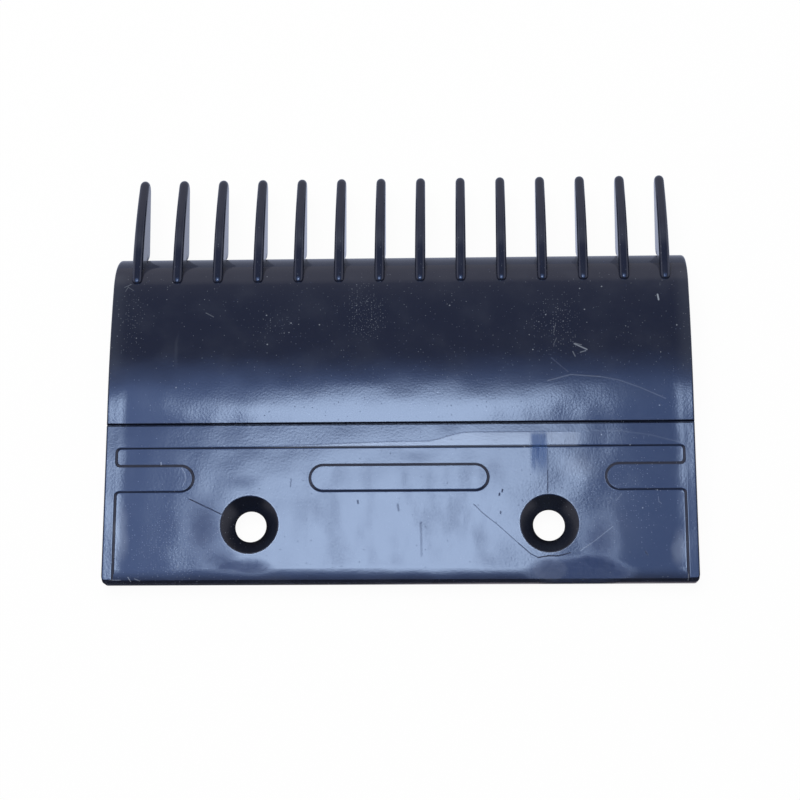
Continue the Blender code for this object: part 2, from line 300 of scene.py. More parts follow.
def bodyOutline(u):
    # side profile of the plate at a distance in from its side
    inset = roundInset(u, plate["edgeRadius"])
    planInset = roundInset(u, plate["cornerRadius"])
    foot = inset * plate["footEdgeShare"]
    bevelY = rearY + plate["bevelStation"]
    curve = deckCurve(inset, noseFoot, plate["crownSteps"], plate["noseSteps"], planInset)
    points = [
        (rearY + planInset, slabFoot + foot),
        (bevelY + planInset, deckTop - plate["rearBevelDrop"] - inset * 0.5),
        (rearTopY + planInset, deckTop - inset),
    ]
    points += curve[:-1]
    points += [
        (curve[-1][0], noseFoot + foot),
        (shoulderY + foot, noseFoot + foot),
        (shoulderY + foot, slabFoot + foot),
    ]
    rear = [plate["footRadius"], plate["rearBevelRadius"], plate["rearTopRadius"]]
    front = [plate["footRadius"], plate["footRadius"], plate["shoulderRadius"]]
    return roundCorners(points, rear + [0] * (len(curve) - 1) + front, plate["outlineSteps"])


def buildBody():
    lean = math.tan(math.radians(plate["sideDraftDeg"]))
    small = [u for u, inset in edgeSections(plate["edgeRadius"], plate["edgeSteps"])]
    large = [u for u, inset in edgeSections(plate["cornerRadius"], plate["edgeSteps"])]
    depths = sorted(set(small + [u for u in large if u > plate["edgeRadius"] * 1.05]))
    sides = [(-1, u) for u in depths] + [(1, u) for u in reversed(depths)]
    rings = []
    for side, u in sides:
        ring = []
        for y, z in bodyOutline(u):
            ring.append((side * (halfWidth - u + (deckTop - z) * lean), y, z))
        rings.append(ring)
    bm = bmesh.new()
    loft(bm, rings)
    return newObject("comb_plate_body", bm)


def toothOutline(inset):
    tip = (tipY - tooth["tipRadius"], low.z + tooth["tipRadius"] + tooth["tipRise"])
    crest = (crownEndY + tooth["crestLead"], deckTop - tooth["crestDrop"])
    run = tip[0] - crest[0]
    fall = crest[1] - tip[1]
    radius = (run ** 2 + fall ** 2 - tooth["tipRadius"] ** 2) / (2 * (fall - tooth["tipRadius"]))
    centre = (crest[0], crest[1] - radius)
    tipAngle = math.asin(run / (radius - tooth["tipRadius"]))
    finY = crownEndY + tooth["finSetback"] + tooth["finEndRadius"] + inset
    finAngle = math.asin((finY - crest[0]) / (radius - inset))
    finTop = onCircle(centre, radius - inset, finAngle)
    finCentre = (finTop[0], finTop[1] - tooth["finEndRadius"])
    points = arcPoints(finCentre, tooth["finEndRadius"], -math.pi / 2, 0, tooth["finSteps"])
    points += arcPoints(centre, radius - inset, finAngle, tipAngle, tooth["crestSteps"])[1:]
    points += arcPoints(tip, tooth["tipRadius"] - inset, tipAngle, math.pi, tooth["tipSteps"])[1:]
    noseFrontY = deckCurve(0, noseFoot, 2, 2)[-1][0]
    heelY = noseFrontY + tooth["heelClearance"] + inset
    heelRadius = tooth["heelRadius"]
    heelCentre = (heelY + heelRadius, low.z + heelRadius + inset)
    points += arcPoints(heelCentre, heelRadius, math.pi, 1.5 * math.pi, tooth["heelSteps"])
    points.append((heelY, noseFoot + inset))
    depth = plate["noseRadius"] - plate["deckWall"] / 2
    innerEnd = math.acos((noseFoot + plate["deckWall"] / 2 - noseCentre[1]) / depth)
    return points + arcPoints(noseCentre, depth, innerEnd, noseAngle, tooth["rootSteps"])


def toothHalf(y, z):
    taper = (tooth["rootThickness"] - tooth["tipThickness"]) / (tipY - crownEndY)
    across = tooth["rootThickness"] - taper * (y - crownEndY)
    return across / 2 - (deckTop - tooth["crestDrop"] - z) * math.tan(math.radians(tooth["draftDeg"]))


def buildTeeth():
    sections = edgeSections(tooth["edgeRadius"], tooth["edgeSteps"])
    sides = [(-1, u, inset) for u, inset in sections] + [(1, u, inset) for u, inset in reversed(sections)]
    bm = bmesh.new()
    for centre in toothCentres:
        rings = []
        for side, u, inset in sides:
            outline = toothOutline(inset)
            middle = centre + tooth["shift"]
            rings.append([(middle + side * (toothHalf(y, z) - u), y, z) for y, z in outline])
        loft(bm, rings)
    return newObject("tooth_blades", bm, isTool=True)


def coreColumns():
    ribs = toothCentres[1:-1]
    wall = halfWidth - under["sideWall"]
    lefts = [-wall] + [x + under["rib"] / 2 for x in ribs]
    rights = [x - under["rib"] / 2 for x in ribs] + [wall]
    return list(zip(lefts, rights))


def easeTool(bm, mouth):
    # rounds a core's inner corners and leaves the rim of its open mouth as it is
    inner = [e for e in bm.edges if any(v.co.z > mouth for v in e.verts)]
    edges = [e for e in inner if e.calc_face_angle(0) > under["cornerAngle"]]
    bmesh.ops.bevel(bm, geom=edges, offset=under["cornerRadius"], segments=under["cornerSteps"],
                    profile=0.5, affect="EDGES", clamp_overlap=True)


def buildFrontCores():
    bm = bmesh.new()
    start = shoulderY + under["shoulderWall"]
    ceiling = deckCurve(plate["deckWall"], noseFoot, *under["ceilingSteps"])
    ceiling = [point for point in ceiling if point[0] > start + overcut]
    radius = plate["crownRadius"] - plate["deckWall"]
    first = onCircle(crownCentre, radius, math.asin((start - crownCentre[0]) / radius))
    outline = [(start, noseFoot - overcut), first] + ceiling + [(ceiling[-1][0], noseFoot - overcut)]
    for left, right in coreColumns():
        sideLoft(bm, outline, left, right)
    bmesh.ops.recalc_face_normals(bm, faces=bm.faces)
    easeTool(bm, noseFoot)
    return newObject("front_cores", bm, isTool=True)


def circleOutline(x, y, radius, steps):
    angles = [2 * math.pi * i / steps for i in range(steps)]
    return [(x + radius * math.cos(a), y + radius * math.sin(a)) for a in angles]


def turned(bm, x, y, profile):
    outlines = [circleOutline(x, y, radius, hole["steps"]) for radius, z in profile]
    planLoft(bm, outlines, [z for radius, z in profile])


def buildRearCores():
    bm = bmesh.new()
    rear = rearTopY + under["sideWall"]
    front = shoulderY - under["sideWall"]
    middle = (rear + front) / 2
    rows = [(rear, middle - under["rib"] / 2), (middle + under["rib"] / 2, front)]
    for left, right in coreColumns():
        for near, far in rows:
            outline = [(left, near), (right, near), (right, far), (left, far)]
            planLoft(bm, [outline, outline], [slabFoot - overcut, slabFoot + under["coreDepth"]])
    bmesh.ops.recalc_face_normals(bm, faces=bm.faces)
    easeTool(bm, slabFoot)
    cores = newObject("rear_cores", bm, isTool=True)
    bm = bmesh.new()
    for x in screwCentres:
        turned(bm, x, screwY, [(under["bossRadius"], slabFoot - 2 * overcut), (under["bossRadius"], deckTop)])
    bosses = newObject("screw_bosses", bm, isTool=True)
    cut(cores, bosses)
    return cores, bosses


def buildScrewHoles():
    lip = hole["lip"]
    sink = hole["sinkRadius"]
    coneFoot = panelFloor - (sink - hole["radius"])
    profile = [
        (hole["radius"] + hole["footChamfer"] + overcut, slabFoot - overcut),
        (hole["radius"], slabFoot + hole["footChamfer"]),
        (hole["radius"], coneFoot - lip),
        (hole["radius"] + lip * 0.3, coneFoot + lip * 0.3),
        (sink - lip, panelFloor - lip),
        (sink - lip * 0.45, panelFloor - lip * 0.5),
        (sink + lip * 0.15, panelFloor - lip * 0.15),
        (sink + lip, panelFloor + hair),
        (sink + lip, panelFloor + 2 * overcut),
    ]
    bm = bmesh.new()
    for x in screwCentres:
        turned(bm, x, screwY - hole["setback"], profile)
    return newObject("screw_holes", bm, isTool=True)


def halfRound(x, y, side, radius, steps):
    # half circle in plan, from its rear side to its front side
    angles = [-math.pi / 2 + math.pi * i / steps for i in range(steps + 1)]
    return [(x + side * radius * math.cos(a), y + radius * math.sin(a)) for a in angles]


def panelOutline(grow):
    edge = halfWidth - panel["margin"] + grow
    front = panelFrontY + grow
    half = panel["islandWidth"] / 2 - grow
    tongueX = halfWidth - panel["margin"] - panel["tongueLength"] + panel["islandWidth"] / 2
    radius = panel["cornerRadius"] + grow * 0.8
    right = [(edge, rearTopY - overcut), (edge, islandY - half)]
    tongue = halfRound(tongueX, islandY, -1, half, panel["endSteps"])
    right += tongue + [(edge, islandY + half), (edge, front)]
    radii = [0, radius] + [0] * len(tongue) + [radius, radius]
    ring = right + [(-x, y) for x, y in reversed(right)]
    return roundCorners(ring, radii + radii[::-1], panel["cornerSteps"])


def barOutline(grow):
    radius = panel["islandWidth"] / 2 - grow
    end = (panel["barLength"] - panel["islandWidth"]) / 2
    right = halfRound(end, islandY, 1, radius, panel["endSteps"])
    return right + [(-x, y) for x, y in reversed(right)]


def wallCurve():
    # (grow, height over the floor) pairs of a step that eases in and out
    pairs = []
    for i in range(panel["wallSteps"] + 1):
        share = i / panel["wallSteps"]
        height = share - panel["wallEase"] * math.sin(2 * math.pi * share) / (2 * math.pi)
        pairs.append((panel["wallRun"] * (share - 0.5), panel["depth"] * height))
    return pairs


def buildPanel():
    steps = wallCurve()
    grows = [grow for grow, height in steps]
    levels = [panelFloor + height for grow, height in steps]
    above = 0.0003
    panelLevels = levels[:-1] + [deckTop + hair, deckTop + above]
    bm = bmesh.new()
    planLoft(bm, [panelOutline(grow) for grow in grows + grows[-1:]], panelLevels)
    sunk = newObject("panel_cut", bm, isTool=True)

    barLevels = [panelFloor - overcut, panelFloor - hair] + levels[1:] + [deckTop + 2 * above]
    bm = bmesh.new()
    planLoft(bm, [barOutline(grow) for grow in grows[:1] + grows + grows[-1:]], barLevels)
    bar = newObject("raised_bar", bm, isTool=True)
    cut(sunk, bar)

    rise = panel["rampRise"] + panel["rampFootDepth"]
    base = panelFloor - panel["rampFootDepth"]
    length = panel["rampLength"]
    power = panel["rampPower"]
    foot = rearTopY + panel["rampLand"] + length
    behind = rearTopY - 2 * overcut
    outline = [(behind, panelFloor - overcut), (foot, panelFloor - overcut)]
    for i in range(panel["rampSteps"] + 1):
        share = i / panel["rampSteps"]
        outline.append((foot - length * share, base + rise * share ** power))
    steepest = power * rise / length
    outline.append((behind, base + rise + (foot - length - behind) * steepest))
    bm = bmesh.new()
    sideLoft(bm, outline, -halfWidth, halfWidth)
    ramp = newObject("panel_ramp", bm, isTool=True)
    cut(sunk, ramp)
    return sunk, bar, ramp


def buildGroove():
    half = groove["width"] / 2
    foot = half * groove["footShare"]
    lip = groove["lip"]
    depth = groove["depth"]
    right = [
        (foot * 0.6, -depth),
        (foot, -depth + lip * 0.6),
        (half * 0.92, -2 * lip),
        (half + lip * 0.25, -0.7 * lip),
        (half + lip, -0.15 * lip),
        (half + 2.2 * lip, hair + 0.0002),
    ]
    ring = right + [(-y, z) for y, z in reversed(right)]
    bm = bmesh.new()
    sideLoft(bm, [(grooveY + y, deckTop + z) for y, z in ring], -halfWidth - overcut, halfWidth + overcut)
    return newObject("deck_groove", bm, isTool=True)


def curlHeight(inward):
    # rise of the deck at a distance in from the side, summed up from the slopes further in
    rise = 0.0
    knots = plate["curlSlopes"]
    for (near, nearSlope), (far, farSlope) in zip(knots, knots[1:]):
        start = min(max(inward, near), far)
        startSlope = nearSlope + (farSlope - nearSlope) * (start - near) / (far - near)
        rise += math.radians(startSlope + farSlope) / 2 * (far - start)
    return rise


def curlSides(item):
    # the deck's outer strips rise a little towards the sides, so its middle lies that much lower
    bm = bmesh.new()
    bm.from_mesh(item.data)
    reach = plate["curlSlopes"][-1][0]
    for side in (-1, 1):
        for i in range(plate["curlSteps"] + 1):
            x = side * (halfWidth - reach * i / plate["curlSteps"] - 0.0001)
            geometry = bm.verts[:] + bm.edges[:] + bm.faces[:]
            bmesh.ops.bisect_plane(bm, geom=geometry, plane_co=(x, 0, 0), plane_no=(1, 0, 0), dist=1e-7)
    most = curlHeight(0)
    for vertex in bm.verts:
        if vertex.co.z < deckTop - plate["curlDepth"]:
            continue
        along = max(0.0, min(1.0, (crownEndY - vertex.co.y) / (crownEndY - crownApexY)))
        vertex.co.z += (curlHeight(halfWidth - abs(vertex.co.x)) - most) * along
    bm.to_mesh(item.data)
    bm.free()


def buildPlate():
    body = buildBody()
    frontCores = buildFrontCores()
    rearCores, bosses = buildRearCores()
    teeth = buildTeeth()
    sunk, bar, ramp = buildPanel()
    channel = buildGroove()
    holes = buildScrewHoles()
    cut(body, frontCores)
    cut(body, rearCores)
    cut(body, teeth, "UNION")
    cut(body, sunk)
    cut(body, channel)
    cut(body, holes)
    settle(body, [frontCores, rearCores, bosses, teeth, sunk, bar, ramp, channel, holes])
    curlSides(body)
    body.name = "moulded_comb_plate"
    body.data.name = body.name
    body.data.shade_smooth()
    body.data.set_sharp_from_angle(angle=math.radians(sharpAngleDeg))
    shading = body.modifiers.new("weighted_normals", "WEIGHTED_NORMAL")
    shading.keep_sharp = True
    return body


def addNode(tree, kind, inputs=None, **settings):
    node = tree.nodes.new(kind)
    for name, value in settings.items():
        setattr(node, name, value)
    for name, value in (inputs or {}).items():
        feed(tree, node, name, value)
    return node


def feed(tree, node, name, value):
    if isinstance(value, bpy.types.NodeSocket):
        tree.links.new(value, node.inputs[name])
    else:
        node.inputs[name].default_value = value


def calc(tree, operation, first, second=0.0, third=0.0, clamp=False):
    node = addNode(tree, "ShaderNodeMath", operation=operation, use_clamp=clamp)
    for index, value in enumerate((first, second, third)):
        feed(tree, node, index, value)
    return node.outputs[0]


def between(tree, value, start, end):
    # 0 below start, 1 above end, smooth in between; start may be the larger one
    node = addNode(tree, "ShaderNodeMapRange", interpolation_type="SMOOTHSTEP")
    feed(tree, node, "Value", value)
    feed(tree, node, "From Min", start)
    feed(tree, node, "From Max", end)
    return node.outputs["Result"]


def mixColor(tree, share, first, second, blend="MIX"):
    node = addNode(tree, "ShaderNodeMix", data_type="RGBA", blend_type=blend)
    feed(tree, node, 0, share)
    feed(tree, node, 6, first)
    feed(tree, node, 7, second)
    return node.outputs[2]


def newGroup(name, inputs, output):
    # node group with named inputs and one named output; gives the group and its two end nodes
    group = bpy.data.node_groups.new(name, "ShaderNodeTree")
    for label, kind in inputs:
        group.interface.new_socket(name=label, in_out="INPUT", socket_type=kind)
    group.interface.new_socket(name=output, in_out="OUTPUT", socket_type="NodeSocketFloat")
    return group, addNode(group, "NodeGroupInput").outputs, addNode(group, "NodeGroupOutput")


def vectorCalc(tree, operation, first, second=(0, 0, 0), scale=None):
    node = addNode(tree, "ShaderNodeVectorMath", operation=operation)
    feed(tree, node, 0, first)
    feed(tree, node, 1, second)
    if scale is not None:
        feed(tree, node, "Scale", scale)
    return node.outputs["Value" if operation in ("DOT_PRODUCT", "DISTANCE", "LENGTH") else "Vector"]


def lineGroup():
    # mask of a straight line from Start along Run, on the plate's plan
    group, given, result = newGroup("lineMask", (
        ("Point", "NodeSocketVector"), ("Start", "NodeSocketVector"), ("Run", "NodeSocketVector"),
        ("PerRun", "NodeSocketFloat"), ("Width", "NodeSocketFloat")), "Mask")
    offset = vectorCalc(group, "SUBTRACT", given["Point"], given["Start"])
    along = calc(group, "MULTIPLY", vectorCalc(group, "DOT_PRODUCT", offset, given["Run"]),
                 given["PerRun"], clamp=True)
    nearest = vectorCalc(group, "SCALE", given["Run"], scale=along)
    distance = vectorCalc(group, "DISTANCE", offset, nearest)
    mask = between(group, distance, given["Width"], calc(group, "MULTIPLY", given["Width"], 0.3))
    feed(group, result, "Mask", mask)
    return group


def patchGroup():
    # mask of a soft ellipse round Centre; Edge is how much of its radius the soft edge takes
    group, given, result = newGroup("patchMask", (
        ("Point", "NodeSocketVector"), ("Centre", "NodeSocketVector"), ("Radii", "NodeSocketVector"),
        ("Edge", "NodeSocketFloat")), "Mask")
    offset = vectorCalc(group, "SUBTRACT", given["Point"], given["Centre"])
    reach = vectorCalc(group, "LENGTH", vectorCalc(group, "DIVIDE", offset, given["Radii"]))
    mask = between(group, reach, 1.0, calc(group, "SUBTRACT", 1.0, given["Edge"]))
    feed(group, result, "Mask", mask)
    return group


def speckGroup():
    # mask of scattered specks of 0.4 to 1.2 times Radius; Share is how many of the cells hold one
    group, given, result = newGroup("speckMask", (
        ("Point", "NodeSocketVector"), ("Scale", "NodeSocketFloat"), ("Radius", "NodeSocketFloat"),
        ("Share", "NodeSocketFloat")), "Mask")
    cells = addNode(group, "ShaderNodeTexVoronoi", {"Vector": given["Point"], "Scale": given["Scale"]},
                    voronoi_dimensions="2D")
    pick = addNode(group, "ShaderNodeSeparateColor", {"Color": cells.outputs["Color"]})
    share = calc(group, "MULTIPLY_ADD", pick.outputs["Green"], 0.8, 0.4)
    size = calc(group, "MULTIPLY", given["Radius"], share)
    dot = between(group, cells.outputs["Distance"], size, calc(group, "MULTIPLY", size, 0.4))
    kept = calc(group, "LESS_THAN", pick.outputs["Red"], given["Share"])
    feed(group, result, "Mask", calc(group, "MULTIPLY", dot, kept))
    return group


# marks on the plate, in millimetres: x across and y towards the tooth tips
marks = {
    # points, half width, strength
    "darkLines": (
        (((-50.4, -32.0), (-42.7, -35.7)), 0.20, 0.8),          # knit line at the left screw hole
        (((35.8, -20.2), (35.7, -25.5)), 0.14, 0.25),           # weld line behind the right screw hole
        (((35.7, -25.5), (35.6, -31.1)), 0.17, 0.55),
        (((17.9, -33.6), (20.2, -35.9), (23.8, -38.8), (28.5, -43.1)), 0.13, 0.3),   # curved crack
        (((28.5, -43.1), (31.3, -45.6), (33.1, -46.5)), 0.16, 0.5),
        (((33.1, -46.5), (35.5, -46.1), (37.9, -46.1), (40.7, -45.4)), 0.22, 0.8),
        (((24.8, -30.1), (24.7, -30.6)), 0.26, 0.5),
        (((24.1, -31.0), (24.0, -31.5)), 0.26, 0.5),
        (((24.3, -35.4), (24.3, -35.9)), 0.22, 0.4),
        (((58.5, -45.2), (58.9, -45.9)), 0.30, 0.6),
        (((-26.0, -27.1), (-26.1, -29.1)), 0.18, 0.2),
        (((5.2, -38.0), (5.4, -45.9)), 0.42, 0.12),                   # wiped dirt between the holes
        (((-0.3, -33.6), (-0.1, -35.0)), 0.42, 0.16),
        (((-9.9, -32.6), (-9.8, -33.2)), 0.32, 0.28),
        (((37.1, 2.2), (41.0, -1.3)), 0.20, 0.6),
    ),
    "lightLines": (
        (((43.1, -44.9), (46.5, -42.6), (50.8, -39.2)), 0.14, 0.22),      # scratch past the right hole
        (((51.9, -32.9), (53.2, -31.2)), 0.12, 0.15),
        (((61.9, -32.0), (62.0, -33.2), (62.6, -33.7)), 0.13, 0.15),
        (((-52.5, -24.4), (-51.6, -25.8), (-51.5, -27.4), (-52.2, -28.9)), 0.14, 0.22),  # left tongue
        (((45.1, -15.9), (53.3, -16.0), (60.4, -17.0), (67.1, -18.8)), 0.28, 0.04),
        (((36.1, -3.5), (41.6, -2.0), (48.8, -2.6)), 0.22, 0.12),         # flow line over the crown
        (((48.8, -2.6), (53.0, -3.4), (58.4, -5.4), (64.3, -8.1)), 0.22, 0.08),
        (((42.7, 5.8), (45.7, 4.3)), 0.24, 0.35),                         # scratches on the crown
        (((42.9, 5.9), (44.4, 5.5)), 0.16, 0.2),
        (((42.3, 3.8), (42.8, 2.6)), 0.20, 0.2),
        (((44.1, 3.6), (45.4, 4.0)), 0.18, 0.25),
        (((63.4, 18.5), (63.6, 17.1)), 0.28, 0.5),
        (((38.3, 11.2), (37.7, 8.6)), 0.16, 0.1),
        (((38.4, 7.3), (37.6, 5.6)), 0.16, 0.1),
        (((-68.4, 21.8), (-66.7, 22.6)), 0.12, 0.18),
        (((-67.4, 22.0), (-68.1, 20.7)), 0.12, 0.14),
        (((-67.4, 21.8), (-66.1, 20.9)), 0.12, 0.14),
        (((-47.7, 14.7), (-45.8, 13.6)), 0.15, 0.15),
        (((-64.7, -50.8), (-64.1, -51.8)), 0.14, 0.35),                   # nicks along the rear edge
        (((-63.1, -51.2), (-61.9, -51.7)), 0.14, 0.25),
        (((-69.2, -51.5), (-66.5, -51.5)), 0.12, 0.25),
        (((-57.6, -22.9), (-57.6, -23.6)), 0.14, 0.4),
        (((68.4, -50.6), (68.3, -52.0)), 0.14, 0.2),
    ),
    # single grains of dust
    "grains": (
        (48.7, -16.9), (55.5, -19.4), (61.7, -30.4), (58.1, -34.7), (30.2, -19.7), (44.4, 20.3),
        (49.8, 20.8), (12.4, 16.1), (45.4, 14.7), (35.9, 13.4), (32.6, 4.4), (-32.7, 13.9),
        (-26.6, 11.8), (-32.3, 6.3), (-54.4, -4.5), (-19.6, 11.3), (62.8, -9.8), (67.7, 10.4),
    ),
    "grainWidth": 0.22,
    "grainStrength": 0.45,
    # centre, radii, soft edge, strength
    # painted shade: soft patches stand in for the shading of sinks in the face, by more roughness and a
    # bluish painted tint
    "dullPatches": (
        ((-47.0, -39.2), (6.8, 10.4), 1.0, 0.34),       # painted shade of the sink left of the left screw hole
        ((-42.6, -46.8), (6.4, 3.6), 1.0, 0.26),
        ((-37.0, -48.5), (9.2, 2.5), 0.85, 0.36),       # band between that hole and the rear edge
        ((-38.2, -27.5), (6.5, 2.6), 1.0, 0.14),
        ((43.0, -49.9), (14.5, 4.2), 0.45, 0.54),       # dark end of the panel under the right hole
        ((48.0, -42.5), (6.4, 9.0), 0.95, 0.34),
        ((4.0, -21.7), (6.0, 2.0), 1.0, 0.10),
    ),
    # light patches of haze and of painted sheen
    "hazePatches": (
        ((35.8, -49.0), (4.6, 3.0), 0.22, 0.045),       # rounded patch under the right hole
        ((-66.6, -40.0), (2.5, 9.4), 0.7, 0.14),        # painted sheen: light columns inside the panel's sides
        ((66.4, -44.3), (2.3, 5.8), 0.8, 0.13),
        ((42.4, -24.4), (5.5, 4.6), 0.9, 0.12),
        # painted sheen along the edge of the window's reflection
        ((53.0, -40.0), (8.0, 9.0), 1.0, 0.025),
        ((-54.6, 5.0), (0.7, 6.5), 0.9, 0.02),
    ),
    "patchWander": 2.6,          # how far the patches' outlines stray
    "wanderScale": 0.16,
    "dullMottleScale": 0.9,
}

# pairs such as (-16, -8) are where a mask starts and where it is full; scales are per millimetre
dust = {
    "density": 0.012,            # share of the cells that hold a speck, away from the clusters
    "clusterEdge": 0.9,
    # centre, radii of the places where dust has gathered, and its density there
    "clusters": (
        ((-8.0, 14.5), (7.0, 11.0), 0.55),
        ((38.0, 11.0), (9.0, 10.0), 0.30),
        ((-32.0, 10.0), (8.0, 7.0), 0.16),
        ((-66.0, 12.0), (4.5, 12.0), 0.25),
        ((-54.0, -42.0), (17.0, 15.0), 0.42),
        ((52.0, -32.0), (18.0, 15.0), 0.22),
    ),
    "crownFrom": (-16, -8),
    "coarseShares": (0.08, 0.42),     # of the density: in the panel, and how much more on the crown
    "coarseScale": 0.85,
    "coarseRadius": 0.13,
    "coarseStrength": 0.38,
    "fineShares": (0.03, 1.6),        # everywhere, and how much more for each unit of density
    "fineScale": 1.7,
    "fineRadius": 0.22,
    "fineStrength": 0.20,
    "calmLeft": (-42, -34),           # specks show less inside the window's reflection
    "calmRight": (44, 36),
    "calmFront": (-6, -14),
    "calmDrop": 0.75,
}

# thin films of dirt, with painted sheen on the crown's outer strips and on the teeth, and a painted highlight
# ring round each countersink
filmAndSheen = {
    "sideFrom": (66.5, 70.5),         # outer strips of the crown, painted sheen
    "sideStation": (-8, 2),
    "sideStrength": 0.03,
    # painted sheen on the teeth, from here towards their tips
    "toothStation": (31, 34),
    "toothStrength": 0.025,
    "ringRadii": (7.45, 7.25),        # painted highlight ring round each countersink
    "ringEdge": 0.04,
    "ringStrength": 0.16,
    "smudgeScale": 0.11,
    "smudgeDetail": 3.0,
    "smudgeRange": (0.42, 0.75),
    "smudgeStrength": 0.014,
}

# painted reflection: a bright wedge between the panel and the groove, under a line that climbs to the right
flowSheen = {
    "lineStart": -19.35,
    "lineClimbs": ((-36, 5, 1.0), (6, 17, 2.15)),      # start, end, how far it climbs
    "wedgeEdge": (0.12, -0.12),
    "leftEnd": (-38, -25),
    "wedgeRight": (44.4, 41.8),
    "wedgeRear": (-19.7, -19.4),
    "wedgeStrength": 0.20,
    "rimOffset": 0.16,                # dark rim just above the line
    "rimEdge": (0.24, 0.06),
    "rimRight": (46, 30),
    "rimStrength": 0.13,
}

# blue streak across the band, with fine lines along it
streak = {
    "sides": (31.2, 32.5, 35.0, 36.0),
    "ends": (-27.5, -20.5, -17.2, -15.6),
    "lineScale": (2.6, 0.22, 0),
    "lineContrast": 2.4,
    "lineOffset": -0.2,
    "dullness": 0.28,
    "hazeDrop": 0.85,
}

# wiped dirt between the screw holes, drawn out towards the rear edge and grainy
smear = {
    "sides": (-30, -20, 22, 30),
    "ends": (-50, -47, -26, -20),
    "scale": (0.17, 0.07, 0),
    "detail": 5.0,
    "range": (0.42, 0.68),
    "grainScale": 2.2,
    "grainRange": (0.0, 0.8),
    "strength": 0.12,
}

pits = {
    "shares": (0.06, 0.10),           # in the panel, and how much more in front of it
    "scale": 0.95,
    "radius": 0.15,
    "leftEnd": (-52, -38),
    "strength": 0.35,
}

surface = {
    "baseColor": (0.014, 0.017, 0.034, 1),
    # painted shade inside the countersinks
    "coneColor": (0.004, 0.004, 0.007, 1),
    # colour of dust and scratches, also used for the painted sheen and highlights
    "dustColor": (0.50, 0.56, 0.66, 1),
    # bluish painted tint of the shade patches
    "dullColor": (0.020, 0.036, 0.085, 1),
    "streakColor": (0.022, 0.050, 0.125, 1),
    "dullTint": 1.3,
    "ior": 1.53,
    "roughness": 0.09,
    "roughest": 0.95,
    "marksFrom": (10.2, 11.2),        # height over which light marks set in, above most of the side walls
    "coneRoughness": 0.22,
    "coneReach": 7.6,
    "coneEdge": 0.02,
    "coneFrom": (0.15, 0.35),         # depth under the panel's floor over which the cone's roughness and painted shade set in
    "peelScale": 2.0,
    "peelHeight": 6.5,                # in micrometres
    "panelPeel": 0.9,
    "panelFront": (-21, -19),
    "waveScale": 0.085,
    "waveHeight": 90.0,
}


def lineMask(tree, point, start, end, width):
    run = (end[0] - start[0] + 0.02, end[1] - start[1], 0)
    node = addNode(tree, "ShaderNodeGroup", node_tree=bpy.data.node_groups["lineMask"])
    feed(tree, node, "Point", point)
    feed(tree, node, "Start", (start[0], start[1], 0))
    feed(tree, node, "Run", run)
    feed(tree, node, "PerRun", 1 / (run[0] ** 2 + run[1] ** 2))
    feed(tree, node, "Width", width)
    return node.outputs["Mask"]


def patchMask(tree, point, centre, radii, edge):
    node = addNode(tree, "ShaderNodeGroup", node_tree=bpy.data.node_groups["patchMask"])
    feed(tree, node, "Point", point)
    feed(tree, node, "Centre", (centre[0], centre[1], 0))
    feed(tree, node, "Radii", (radii[0], radii[1], 1))
    feed(tree, node, "Edge", edge)
    return node.outputs["Mask"]


def specks(tree, point, scale, radius, share):
    node = addNode(tree, "ShaderNodeGroup", node_tree=bpy.data.node_groups["speckMask"])
    feed(tree, node, "Point", point)
    feed(tree, node, "Scale", scale)
    feed(tree, node, "Radius", radius)
    feed(tree, node, "Share", share)
    return node.outputs["Mask"]


def noise(tree, point, scale, detail=2.0):
    node = addNode(tree, "ShaderNodeTexNoise", {"Vector": point, "Scale": scale, "Detail": detail})
    return node.outputs[0]


def noiseColor(tree, point, scale):
    return addNode(tree, "ShaderNodeTexNoise", {"Vector": point, "Scale": scale}).outputs["Color"]


def drawnLines(tree, point, lines):
    total = 0.0
    for points, width, strength in lines:
        for start, end in zip(points, points[1:]):
            mask = lineMask(tree, point, start, end, width)
            total = calc(tree, "MAXIMUM", total, calc(tree, "MULTIPLY", mask, strength))
    return total


def drawnPatches(tree, point, patches):
    total = 0.0
    for centre, radii, edge, strength in patches:
        total = calc(tree, "MULTIPLY_ADD", patchMask(tree, point, centre, radii, edge), strength, total)
    return total


def boxMask(tree, across, along, sides, ends):
    # 1 inside the two middle values, 0 outside the two outer ones, both ways
    wide = calc(tree, "MULTIPLY", between(tree, across, sides[0], sides[1]),
                between(tree, across, sides[3], sides[2]))
    long = calc(tree, "MULTIPLY", between(tree, along, ends[0], ends[1]),
                between(tree, along, ends[3], ends[2]))
    return calc(tree, "MULTIPLY", wide, long)


def flowSheenMasks(tree, across, along):
    line = flowSheen["lineStart"]
    for start, end, climb in flowSheen["lineClimbs"]:
        line = calc(tree, "MULTIPLY_ADD", between(tree, across, start, end), climb, line)
    above = calc(tree, "SUBTRACT", along, line)
    sheenWedge = calc(tree, "MULTIPLY", between(tree, above, *flowSheen["wedgeEdge"]),
                 between(tree, across, *flowSheen["leftEnd"]))
    sheenWedge = calc(tree, "MULTIPLY", sheenWedge, between(tree, across, *flowSheen["wedgeRight"]))
    sheenWedge = calc(tree, "MULTIPLY", sheenWedge, between(tree, along, *flowSheen["wedgeRear"]))
    rim = calc(tree, "ABSOLUTE", calc(tree, "SUBTRACT", above, flowSheen["rimOffset"]))
    rim = calc(tree, "MULTIPLY", between(tree, rim, *flowSheen["rimEdge"]),
               between(tree, across, *flowSheen["rimRight"]))
    rim = calc(tree, "MULTIPLY", rim, between(tree, across, *flowSheen["leftEnd"]))
    return sheenWedge, rim


